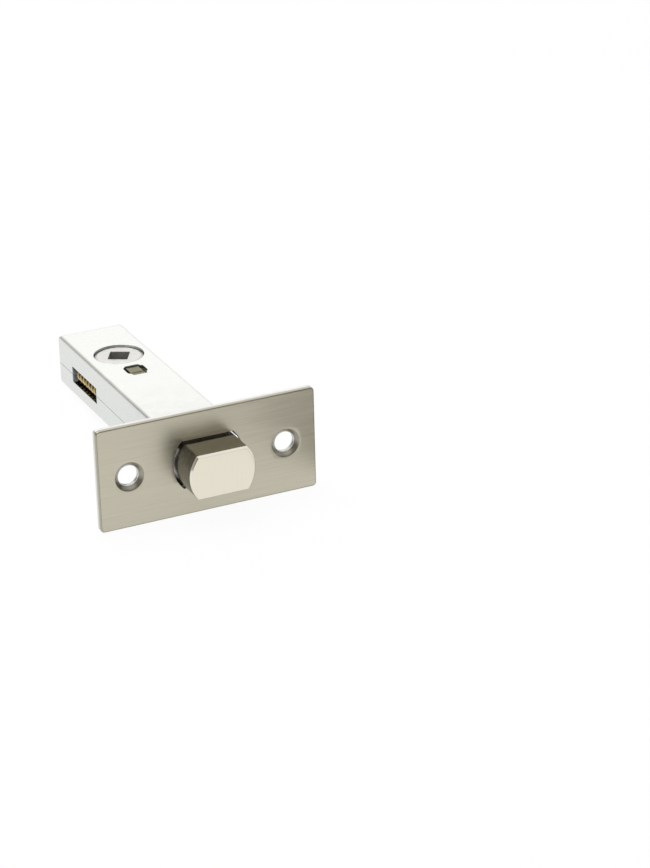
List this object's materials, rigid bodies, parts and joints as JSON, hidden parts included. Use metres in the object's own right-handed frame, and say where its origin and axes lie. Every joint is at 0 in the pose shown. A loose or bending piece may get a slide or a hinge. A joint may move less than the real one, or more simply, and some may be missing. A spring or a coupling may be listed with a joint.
{
  "type": "tubular deadbolt",
  "caption": "Mortice tubular deadbolt: rectangular forend, folded case, double-D bolt thrown and withdrawn by a square-hole follower.",
  "frame": {"origin": "centre of the forend's front face, midway between its two screw holes", "axes": "+Y from the forend towards the back of the case, +X along the forend's long side, +Z along the follower's axis"},
  "size_m": [0.057, 0.0863, 0.0264],
  "materials": {
    "satin_nickel": "satin nickel, grained along its length",
    "zinc_plate": "bright zinc plate",
    "polished_nickel": "polished nickel plate",
    "tail_steel": "plain pressed steel",
    "rivet_steel": "plain steel",
    "follower_metal": "zinc plated, matt",
    "spring_wire": "yellow passivated wire",
    "yellow_passivate": "olive yellow passivated"
  },
  "bodies": {
    "lock_case": {"forend_cover": "satin_nickel", "forend_base": "zinc_plate", "case": "zinc_plate", "guide_block": "yellow_passivate", "detent_spring": "spring_wire"},
    "bolt": {"bolt_head": "polished_nickel", "bolt_tail": "tail_steel", "tail_rivet_left": "rivet_steel", "tail_rivet_right": "rivet_steel"},
    "follower": {"follower": "follower_metal"}
  },
  "joints": [
    {"name": "bolt_slide", "type": "slide", "parent": "lock_case", "child": "bolt", "axis": [0, 1, 0], "range_m": [0, 0.009]},
    {"name": "follower_turn", "type": "hinge", "parent": "lock_case", "child": "follower", "pos_m": [0, 0.057, 0], "axis": [0, 0, 1], "range_deg": [0, 90], "deforming": ["detent_spring"]}
  ],
  "couplings": [
    {"joint": "follower_turn", "follows": "bolt_slide", "rad_per_m": 174.53}
  ]
}
